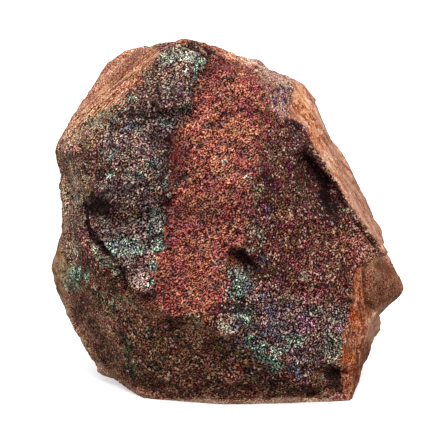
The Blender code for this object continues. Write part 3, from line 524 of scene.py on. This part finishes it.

# Behind, where the crust is left and where the break is fresh or worn follows slow noise; the faces
# that look up take the flank's paler colours, and those that look down the belly's darker ones.
crust_left = waves(places, 16.0) + 0.2 * waves(places, 3.0)
fresh_break = waves(places, 12.0, 200.0) + 0.35 * waves(places, 4.0, 80.0)
looks_up = ways[:, 2] + 0.5 * waves(places, 5.0)
behind = dict.fromkeys(front, 0.0)
behind["band"] = smoothstep(0.02, 0.16, fresh_break)
behind["crust"] = smoothstep(0.10, 0.16, crust_left)
behind["flank"] = smoothstep(0.45, 0.75, looks_up)
behind["toe"] = smoothstep(0.10, 0.2, waves(places, 14.0, 300.0))
behind["toe"] *= smoothstep(-0.1, 0.2, looks_up)
behind["belly"] = smoothstep(-0.15, -0.45, looks_up)
masks = {}
for name, here in front.items():
    masks[name] = here * facing_eye + behind[name] * (1 - facing_eye)

# Behind, each stain keeps to patches of its own, and the tarnish colours keep to the crust.
TARNISH = ("mint", "sage", "blue", "violet")
SHARP_EDGED = ("soot", "maroon")
PATCHES_SHARE = 0.7
stained = {}
for number, (name, ovals) in enumerate(STAINS.items(), 1):
    cover = np.zeros(len(places))
    edge = seen + (0.5 if name in SHARP_EDGED else 1.0) * bend
    for *oval, share in ovals:
        cover = np.maximum(cover, share * blot(edge, *oval))
    for path, half_width, share in LINES.get(name, []):
        far = path_distance(seen + 0.2 * bend, path)
        cover = np.maximum(cover, share * smoothstep(1.5 * half_width, 0.5 * half_width, far))
    if name == "soot":
        cover = np.maximum(cover, area(seen + 0.4 * bend, CLEFT, 0.4))
    patches = smoothstep(0.16, 0.34, waves(places, 5.5, 31.0 * number))
    where = masks["crust"] if name in TARNISH else 0.5
    stained[name] = cover * facing_eye + PATCHES_SHARE * patches * where * (1 - facing_eye)

# The flank's near edge is orange.
GLOWING_EDGE = [(16.0, 25.2), (16.6, 22.2), (17.8, 19.6), (18.8, 16.8), (19.8, 14.0)]
glow = smoothstep(2.0, 0.2, path_distance(seen + 0.5 * bend, GLOWING_EDGE)) * facing_eye

# The lower edge is painted paler and warmer, as light along its rim.
RIM_LIGHT_EDGE = [
    (-31.6, -13.6), (-30.4, -18.4), (-28.4, -23.0), (-26.4, -27.2), (-23.8, -30.8), (-19.6, -33.8),
    (-15.6, -35.4), (-8.0, -36.8), (4.0, -37.4), (14.0, -37.2), (23.0, -36.6),
]
rubbed = smoothstep(2.6, 0.6, path_distance(seen + 0.6 * bend, RIM_LIGHT_EDGE)) * facing_eye

# A random tone, with the ovals' painted light and shade and tone added to it.
tone = 0.25 * waves(places, 7.0, 500.0)
for *oval, lift in TONES_AND_PAINTED_LIGHT:
    tone += lift * blot(seen + 0.3 * bend, *oval) * facing_eye

# The break's relief, by the heights of what it is made of: angular hackle, ripples and low domes
# all over, higher domes and slow swells in the crust, thin layers in the rusty band, and ridges
# across the upper part of the band.
HACKLE, RIPPLE, FINE_RIPPLE = 0.20, 0.22, 0.20
DOME, CRUST_DOME, SWELL = 0.08, 0.38, 0.9
LAYER, RIDGE = 0.20, 0.55
DOME_WIDTH = 1.7
RIDGE_LEAN = math.radians(30)

smooth = np.clip(masks["bevel"] + masks["flank"] + masks["spur"] + masks["hip"], 0.0, 1.0)
smooth = np.clip(smooth + 0.6 * masks["toe"] + 0.6 * masks["margin"] + 0.5 * masks["crown"], 0, 1)
rough = 1.0 - 0.85 * smooth
botryoidal = np.clip(masks["crust"] + 0.6 * masks["peacock"], 0.0, 1.0)
relief = HACKLE * (cells(places, 2.3, "CHEBYCHEV") - 0.35) * rough
relief += RIPPLE * waves(places, 1.5) * rough
relief += FINE_RIPPLE * waves(places, 0.8) * (1.0 - 0.7 * smooth)
domes = np.minimum(1.0, 1.6 * cells(places + 0.5 * bend[:, [0, 1, 0]], DOME_WIDTH)) - 0.5
relief += (DOME + CRUST_DOME * botryoidal) * domes * rough * (1.0 - 0.6 * stained["sage"])
relief += SWELL * botryoidal * waves(places, 4.6, 90.0)
relief += LAYER * masks["band"] * waves(places * np.array([0.7, 0.7, 1.3]), 1.2)
along = places[:, 0] * math.cos(RIDGE_LEAN) + places[:, 2] * math.sin(RIDGE_LEAN)
across = places[:, 2] * math.cos(RIDGE_LEAN) - places[:, 0] * math.sin(RIDGE_LEAN)
ridges = waves(np.column_stack([along * 0.4, places[:, 1] * 0.6, across * 1.4]), 1.5)
relief += RIDGE * masks["band"] * smoothstep(0.0, 9.0, seen[:, 1]) * ridges
for path, half_width, height in FINE_CUTS:
    profile = smoothstep(half_width * 1.4, 0.2 * half_width, path_distance(seen, path))
    relief += height * profile * facing_eye
relief *= smoothstep(0.1, 1.5, places[:, 2])
move_points(lump.data, places + ways * relief[:, None])
lump.data.shade_flat()

# What the finish reads at each point, from 0 to 1. A tone of 0.5 is the kind's own; the tone also
# carries painted light and shade.
for_finish = {
    **masks,
    **stained,
    "worn": smooth,
    "glow": glow,
    "rubbed": rubbed,
    "tone": 0.5 + 0.5 * tone,
    # The gap is painted shade in the hollows of the relief, the crest painted light on its raised
    # tops.
    "gap": smoothstep(-0.05, -0.35, relief),
    "crest": smoothstep(0.10, 0.45, relief),
}
for name, values in for_finish.items():
    layer = lump.data.attributes.new(name, "FLOAT", "POINT")
    layer.data.foreach_set("value", np.clip(values, 0.0, 1.0).astype(np.float32))


class Value:
    """A socket of a shader that can be written about in sums."""

    def __init__(self, finish, socket):
        self.finish, self.socket = finish, socket

    def out(self, name):
        """Another output of the node that this one comes from."""
        return Value(self.finish, self.socket.node.outputs[name])

    def math(self, operation, a, b):
        return self.finish.node("ShaderNodeMath", {"operation": operation}, {0: a, 1: b})

    def __add__(self, other):
        return self.math("ADD", self, other)

    def __mul__(self, other):
        return self.math("MULTIPLY", self, other)

    def __sub__(self, other):
        return self.math("SUBTRACT", self, other)

    def __rsub__(self, other):
        return self.math("SUBTRACT", other, self)

    __radd__, __rmul__ = __add__, __mul__

    def step(self, low, high):
        """0 below low and 1 above high, changing smoothly between."""
        settings = {"interpolation_type": "SMOOTHSTEP"}
        inputs = {"Value": self, "From Min": low, "From Max": high}
        return self.finish.node("ShaderNodeMapRange", settings, inputs)


class Finish:
    """The nodes of one material or world."""

    def __init__(self, tree):
        self.tree = tree

    def node(self, kind, settings, inputs):
        """The first output of a new node, with its settings and its sockets' values or links."""
        made = self.tree.nodes.new(kind)
        for name, value in settings.items():
            if name != "stops":
                setattr(made, name, value)
                continue
            elements = made.color_ramp.elements
            while len(elements) < len(value):
                elements.new(0.5)
            for element, (position, colour) in zip(elements, value):
                element.position = position
                element.color = (*colour, 1.0)
        for name, value in inputs.items():
            self.feed(made.inputs[name], value)
        return Value(self, made.outputs[0])

    def feed(self, socket, value):
        """Links a value to the socket, or sets the socket to plain numbers."""
        if isinstance(value, Value):
            self.tree.links.new(value.socket, socket)
        elif isinstance(value, tuple) and socket.type == "RGBA":
            socket.default_value = (*value, 1.0)
        else:
            socket.default_value = value

    def mixed(self, share, a, b):
        """Colour a with that share of it turned to colour b."""
        return self.node("ShaderNodeMix", {"data_type": "RGBA"}, {0: share, 6: a, 7: b}).out(2)


def paint(red, green, blue):
    """A colour as a painter's chart gives it, 0 to 255, in the shader's own linear values."""
    return tuple(((c / 255 + 0.055) / 1.055) ** 2.4 if c > 10 else c / 255 / 12.92
                 for c in (red, green, blue))


# Where along the grain's level a kind of ore's six colours stand, from its pits to its glints.
LEVELS = (0.16, 0.34, 0.50, 0.66, 0.80, 0.94)

ORES = {
    "dark": [
        (46, 6, 3), (75, 23, 15), (104, 48, 37), (134, 77, 62), (174, 115, 97), (232, 180, 162),
    ],
    "belly": [
        (48, 13, 8), (80, 39, 26), (110, 64, 46), (136, 88, 66), (166, 116, 92), (216, 176, 152),
    ],
    "band": [
        (96, 16, 8), (138, 50, 31), (168, 84, 55), (194, 120, 84), (216, 153, 118), (236, 196, 164),
    ],
    "crust": [
        (36, 2, 1), (74, 22, 11), (116, 66, 48), (156, 120, 100), (202, 174, 152), (244, 228, 208),
    ],
    "peacock": [
        (38, 5, 5), (76, 28, 22), (117, 64, 54), (156, 102, 90), (196, 144, 130), (230, 194, 180),
    ],
    "rind": [
        (92, 38, 26), (134, 72, 52), (170, 108, 84), (202, 142, 114), (226, 170, 144),
        (246, 198, 174),
    ],
    "bevel": [
        (90, 38, 22), (140, 82, 56), (180, 121, 90), (212, 158, 127), (236, 186, 157),
        (250, 216, 194),
    ],
    "flank": [
        (132, 76, 56), (166, 110, 88), (191, 137, 114), (214, 163, 141), (232, 188, 168),
        (246, 212, 196),
    ],
    "crown": [
        (92, 50, 40), (130, 88, 75), (162, 122, 107), (195, 155, 139), (220, 181, 166),
        (240, 208, 194),
    ],
    "margin": [
        (54, 18, 8), (98, 54, 35), (138, 92, 67), (172, 127, 99), (206, 165, 138), (236, 206, 184),
    ],
    "hip": [
        (92, 50, 28), (132, 86, 58), (164, 121, 88), (190, 149, 117), (212, 174, 144),
        (232, 202, 180),
    ],
    "toe": [
        (84, 32, 20), (118, 60, 42), (150, 88, 67), (175, 112, 87), (205, 144, 118),
        (236, 184, 160),
    ],
    "spur": [
        (90, 45, 31), (108, 63, 45), (124, 78, 59), (144, 96, 75), (166, 117, 97), (196, 150, 130),
    ],
}

# A stain's three colours, and where along the level of the plated ore they stand.
STAIN_LEVELS = (0.20, 0.46, 0.76)
STAIN_COLOURS = {
    "ochre": [(70, 34, 18), (150, 92, 54), (222, 164, 108)],
    "olive": [(30, 22, 10), (86, 68, 38), (150, 128, 88)],
    "moss": [(16, 16, 8), (56, 58, 36), (122, 124, 90)],
    "maroon": [(22, 4, 6), (72, 20, 20), (140, 66, 58)],
    "orange": [(128, 48, 28), (192, 98, 62), (236, 154, 108)],
    "rose": [(54, 24, 22), (158, 114, 104), (250, 208, 194)],
    "sage": [(34, 34, 24), (126, 126, 98), (206, 208, 176)],
    "mint": [(8, 18, 12), (84, 126, 102), (202, 240, 210)],
    "blue": [(14, 12, 26), (74, 80, 114), (164, 178, 214)],
    "violet": [(26, 4, 16), (110, 50, 78), (214, 144, 176)],
    "pale": [(120, 96, 80), (206, 184, 162), (255, 244, 228)],
    "soot": [(14, 5, 5), (42, 20, 19), (96, 58, 53)],
}

# The painted rim light's colours on the lower edge, and the flank's orange edge's colours, likewise.
EDGE_LEVELS = (0.25, 0.50, 0.80)
RIM_LIGHT_COLOURS = [(128, 72, 56), (182, 128, 104), (226, 182, 156)]
GLOWING_COLOURS = [(176, 108, 76), (222, 158, 122), (246, 202, 172)]
# The painted shade mixed into the hollows of the relief.
PAINTED_HOLLOW_SHADE = (14, 5, 5)  # in the gaps between the grains
# The colour of the painted glint on a few shiny grains.
PAINTED_GLINT = (252, 214, 192)

GRAIN, SPECK, FINE, SPARKLE = 0.30, 0.25, 0.29, 0.26  # across one fleck of each pattern
PLATE, CLUMP, PATCH, BROAD = 0.65, 1.0, 1.9, 3.5  # across what groups of grains have in common
EYE_GAMMA = 2.2  # from the shader's linear values to what the eye judges, and back
DARKEST = (0.12, 0.02, 0.015)  # red, green and blue of the deepest gaps, as the eye judges
MEAN_PAINTED_SPARKLE = 0.54  # so that the glitter darkens about as much as it lightens


def ore_finish():
    """Each kind of ore is made of grains that run through its colours, with the stains over."""
    material = bpy.data.materials.new("tarnished ore")
    material.use_nodes = True
    finish = Finish(material.node_tree)
    shader = material.node_tree.nodes["Principled BSDF"]
    place = finish.node("ShaderNodeTexCoord", {}, {}).out("Object")

    def stretched(x, y, z, turn=0.0):
        """The place with these lengths along each axis as the unit, turned about the away axis."""
        settings = {"vector_type": "TEXTURE"}
        inputs = {"Vector": place, "Scale": (x, y, z), "Rotation": (0, -math.radians(turn), 0)}
        return finish.node("ShaderNodeMapping", settings, inputs)

    def speckle(where, size, detail=2.0):
        """A smooth noise of 0 to 1, each speck about that size."""
        inputs = {"Vector": where, "Scale": 1.0 / (size * MM), "Detail": detail, "Roughness": 0.65}
        return finish.node("ShaderNodeTexNoise", {}, inputs).step(0.32, 0.68)

    def parted(colour):
        """A colour's red, green and blue, as three values."""
        split = finish.node("ShaderNodeSeparateColor", {}, {"Color": colour})
        return split.out("Red"), split.out("Green"), split.out("Blue")

    def grains(size):
        """Three chances, each the same all over a grain and different on the next."""
        inputs = {"Vector": place, "Scale": 1.0 / (size * MM)}
        return parted(finish.node("ShaderNodeTexVoronoi", {}, inputs).out("Color"))

    def clumps(size):
        """Three chances that change smoothly from one clump of grains to the next."""
        inputs = {"Vector": place, "Scale": 1.0 / (size * MM), "Detail": 2.0}
        chances = parted(finish.node("ShaderNodeTexNoise", {}, inputs).out("Color"))
        return [chance.step(0.34, 0.66) for chance in chances]

    def mask(name):
        """What the mesh keeps under that name, from 0 to 1."""
        return finish.node("ShaderNodeAttribute", {"attribute_name": name}, {}).out("Fac")

    def ramp(value, positions, colours):
        """The colours, one running into the next as the value passes their positions."""
        stops = [(p, paint(*c)) for p, c in zip(positions, colours)]
        return finish.node("ShaderNodeValToRGB", {"stops": stops}, {"Fac": value})

    grain_a, grain_b, grain_c = grains(GRAIN)
    speck, _, _ = grains(SPECK)
    clump_a, clump_b, clump_c = clumps(CLUMP)
    patch_a, patch_b, patch_c = clumps(PATCH)
    fine = speckle(place, FINE, 0.0)
    # Painted sparkle: a fine pattern of lighter and darker grains.
    painted_sparkle = speckle(stretched(1.3, 1.0, 0.8, 35), SPARKLE, 0.5)
    broad = speckle(place, BROAD)
    inputs = {"Vector": place, "Scale": 1.0 / (PLATE * MM)}
    plates = finish.node("ShaderNodeTexVoronoi", {"feature": "DISTANCE_TO_EDGE"}, inputs)
    plates = plates.step(0.02, 0.24)
    # Painted light and shade: the tone, lighter on the raised tops and darker in the hollows.
    shade = mask("tone") * 1.4 - 0.35 + mask("crest") * 0.10 - mask("gap") * 0.12

    # How light each grain of a kind of ore is: even, in plates or mild, in streaks that lie, lean
    # or stand, or soft.
    even = fine * 0.48 + grain_a * 0.26 + clump_a * 0.16 + broad * 0.14 + shade - 0.44
    plated = fine * 0.58 + grain_a * 0.12 + clump_a * 0.26 + patch_b * 0.34 + broad * 0.14
    plated = plated + plates * 0.20 + shade - 0.94
    mild = fine * 0.46 + grain_a * 0.12 + clump_a * 0.10 + broad * 0.12 + shade - 0.43
    lying = speckle(stretched(2.0, 1.2, 0.8, 26), 0.28, 0.0) * 0.36 + grain_a * 0.16 + clump_b * 0.06
    lying = lying + speckle(stretched(2.2, 1.2, 0.8, 30), 0.8) * 0.20 + broad * 0.10 + shade - 0.46
    soft = fine * 0.24 + grain_b * 0.16 + broad * 0.15 + mask("tone") - 0.25
    bevel_streaks = speckle(stretched(8.0, 1.2, 0.40, 41), 0.8, 3.0) * 0.66 + soft * 0.8
    bevel_streaks = bevel_streaks + grain_c * 0.14 - 0.42
    flank_streaks = speckle(stretched(4.0, 2.0, 0.6, -57), 0.8, 3.0) * 0.45 + soft - 0.25
    upright = speckle(stretched(0.5, 0.5, 3.0, 8), 0.7, 3.0) * 0.54 + soft + grain_c * 0.36 - 0.55
    oblique = speckle(stretched(2.4, 1.6, 0.8, -28), 0.8, 3.0) * 0.28 + grain_a * 0.20 + fine * 0.36
    oblique = oblique + broad * 0.22 + shade - 0.45
    mottled = soft + speckle(place, 1.6) * 0.25 - 0.13
    levels = {
        "band": lying,
        "belly": oblique,
        "bevel": bevel_streaks,
        "flank": flank_streaks,
        "margin": upright,
        "crust": plated - 0.03,
        "peacock": plated + 0.01,
        "hip": mottled,
        "spur": mottled,
        "toe": soft + speckle(stretched(0.8, 0.8, 2.0), 0.9) * 0.45 - 0.28,
    }

    def brightened(colour, lift):
        """The colour with the lift added to red, green and blue alike, as the eye judges them."""
        judged = finish.node("ShaderNodeGamma", {}, {"Color": colour, "Gamma": 1 / EYE_GAMMA})
        judged = finish.node("ShaderNodeVectorMath", {"operation": "ADD"}, {0: judged, 1: lift})
        inputs = {0: judged, 1: DARKEST}
        judged = finish.node("ShaderNodeVectorMath", {"operation": "MAXIMUM"}, inputs)
        return finish.node("ShaderNodeGamma", {}, {"Color": judged, "Gamma": EYE_GAMMA})

    def kept(colour, *names):
        """The colour with those kinds of ore laid over it in turn."""
        for name in names:
            kind = ramp(levels.get(name, even), LEVELS, ORES[name])
            colour = finish.mixed(mask(name), colour, kind)
        return colour

    def stain(colour, name, chance, hold):
        """The colour with the masked share of its clumps turned to the stain's own colours."""
        share = (mask(name) * 1.2 - chance * 0.8 - speck * 0.2 - 0.1).step(-0.1, 0.1)
        stain_colour = ramp(plated, STAIN_LEVELS, STAIN_COLOURS[name])
        return finish.mixed(share * hold, colour, stain_colour)

    # The kinds of ore and their stains, from the deepest to the outermost.
    colour = kept(ramp(mild, LEVELS, ORES["dark"]), "belly", "band", "crust", "peacock", "margin")
    # Painted light along the lower rim.
    colour = finish.mixed(mask("rubbed") * 0.9, colour, ramp(mild, EDGE_LEVELS, RIM_LIGHT_COLOURS))
    colour = stain(colour, "ochre", clump_a, 0.8)
    colour = stain(colour, "olive", clump_b, 0.6)
    colour = stain(colour, "moss", patch_b, 0.85)
    colour = stain(colour, "maroon", clump_c, 0.8)
    colour = kept(colour, "hip", "bevel", "rind", "crown", "flank", "toe", "spur")
    glowing = ramp(flank_streaks, EDGE_LEVELS, GLOWING_COLOURS)
    colour = finish.mixed(mask("glow") * mask("flank") * 0.7, colour, glowing)
    colour = stain(colour, "orange", clump_a, 0.85)
    colour = stain(colour, "rose", clump_a, 0.75)
    colour = stain(colour, "sage", clump_b, 0.9)
    colour = stain(colour, "mint", clump_c * 0.4 + patch_c * 0.6, 0.9)
    colour = stain(colour, "blue", patch_b, 0.85)
    colour = stain(colour, "violet", patch_c, 0.8)
    # Pale specks, partly painted glints.
    colour = stain(colour, "pale", clump_b, 0.9)
    # Painted shade in undercuts, clefts and cracks, with random dark patches behind; none on the
    # flank.
    colour = finish.mixed(mask("flank"), stain(colour, "soot", clump_c, 0.94), colour)
    # Painted shade: the hollows of the relief turn towards the deep brown.
    colour = finish.mixed(mask("gap") * 0.5 * (1.0 - mask("flank")), colour, paint(*PAINTED_HOLLOW_SHADE))

    # The hue wanders a little from patch to patch, and least where the ore is worn smooth.
    polished = mask("flank") + mask("spur") + mask("hip") + mask("toe") + mask("crown") * 0.5
    wander = clump_b * 0.3 + patch_c * 0.3 + speckle(place, 2.6, 0.0) * 0.4 - 0.5
    turn = wander * (0.06 - polished * 0.04 - mask("band") * 0.02 - mask("bevel") * 0.03) + 0.503
    strength = 1.06 - mask("band") * 0.10
    inputs = {"Hue": turn, "Saturation": strength, "Value": 1.0, "Color": colour}
    colour = finish.node("ShaderNodeHueSaturation", {}, inputs)

    # Painted light and shade: the grain is lightened and darkened as if tiny broken faces caught the
    # light or missed it, most of all in the crust, and a few shiny grains get a painted glint.
    busy = 0.58 + mask("crust") * 0.46 + mask("peacock") * 0.28 + mask("margin") * 0.28
    busy = (busy - mask("belly") * 0.10 - polished * 0.44) * (1.0 - mask("soot") * 0.7)
    busy = busy * (0.60 + mask("tone").step(0.0, 0.44) * 0.42)
    colour = brightened(colour, (painted_sparkle - MEAN_PAINTED_SPARKLE) * busy)
    shiny_grain_and_painted_glint = (grain_c + patch_a * 0.12).step(0.98, 1.02) * (1.0 - mask("soot")) * (1.0 - mask("worn"))
    shiny_grain_and_painted_glint = shiny_grain_and_painted_glint * (1.0 - mask("band"))
    colour = finish.mixed(shiny_grain_and_painted_glint * 0.5, colour, paint(*PAINTED_GLINT))
    finish.feed(shader.inputs["Base Color"], colour)
    finish.feed(shader.inputs["Roughness"], 0.66 - shiny_grain_and_painted_glint * 0.28 - grain_b * 0.10)
    shader.inputs["Specular IOR Level"].default_value = 0.1
    inputs = {"Height": fine * 0.6 + grain_b * 0.4, "Strength": 0.45, "Distance": 0.15 * MM}
    finish.feed(shader.inputs["Normal"], finish.node("ShaderNodeBump", {}, inputs))
    return material


lump.data.materials.clear()
lump.data.materials.append(ore_finish())
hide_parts("chalcopyrite")
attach(lump, "root")

# ------------------------------------------------------------------------ the floor and the light
# The lump stands loose on a plain white sweep. A broad soft light is overhead and a little in
# front, a weaker one fills in from the front, and a pale dome is all around.

FLOOR_REACH = 30.0  # in metres, past where the eye's view ends
sweep = bpy.data.meshes.new("white sweep")
corners = [(-1, -1), (1, -1), (1, 1), (-1, 1)]
sweep.from_pydata([(x * FLOOR_REACH, y * FLOOR_REACH, 0) for x, y in corners], [], [(0, 1, 2, 3)])
floor = bpy.data.objects.new("white_sweep", sweep)
bpy.context.scene.collection.objects.link(floor)
white = bpy.data.materials.new("white sweep")
white.use_nodes = True
painted = white.node_tree.nodes["Principled BSDF"].inputs
painted["Base Color"].default_value = (0.9, 0.9, 0.9, 1)
painted["Roughness"].default_value = 0.9
painted["Emission Color"].default_value = (1, 1, 1, 1)
painted["Emission Strength"].default_value = 0.5
sweep.materials.append(white)
floor.visible_diffuse = False
floor.visible_glossy = False


def soft_sun(name, strength, spread, forward):
    """A distant light that many degrees wide, brought that many forward from overhead."""
    sun = bpy.data.lights.new(name, "SUN")
    sun.energy = strength
    sun.angle = math.radians(spread)
    made = bpy.data.objects.new(name, sun)
    made.rotation_euler = (math.radians(forward), 0, 0)
    bpy.context.scene.collection.objects.link(made)


soft_sun("overhead", 2.6, 35, 34)
soft_sun("front fill", 0.7, 60, 70)

dome = bpy.data.worlds.new("pale dome")
bpy.context.scene.world = dome
dome.use_nodes = True
air = Finish(dome.node_tree)
direction = air.node("ShaderNodeTexCoord", {}, {}).out("Generated")
upward = air.node("ShaderNodeSeparateXYZ", {}, {0: direction}).out("Z")
BELOW, JUST_BELOW = (0.20, 0.19, 0.18), (0.26, 0.25, 0.24)
HORIZON, OVERHEAD = (0.45, 0.45, 0.45), (0.75, 0.75, 0.75)
stops = [(0.00, BELOW), (0.49, JUST_BELOW), (0.51, HORIZON), (1.00, OVERHEAD)]
sky = air.node("ShaderNodeValToRGB", {"stops": stops}, {"Fac": upward * 0.5 + 0.5})
air.feed(dome.node_tree.nodes["Background"].inputs["Color"], sky)

bpy.context.scene.view_settings.view_transform = "Standard"
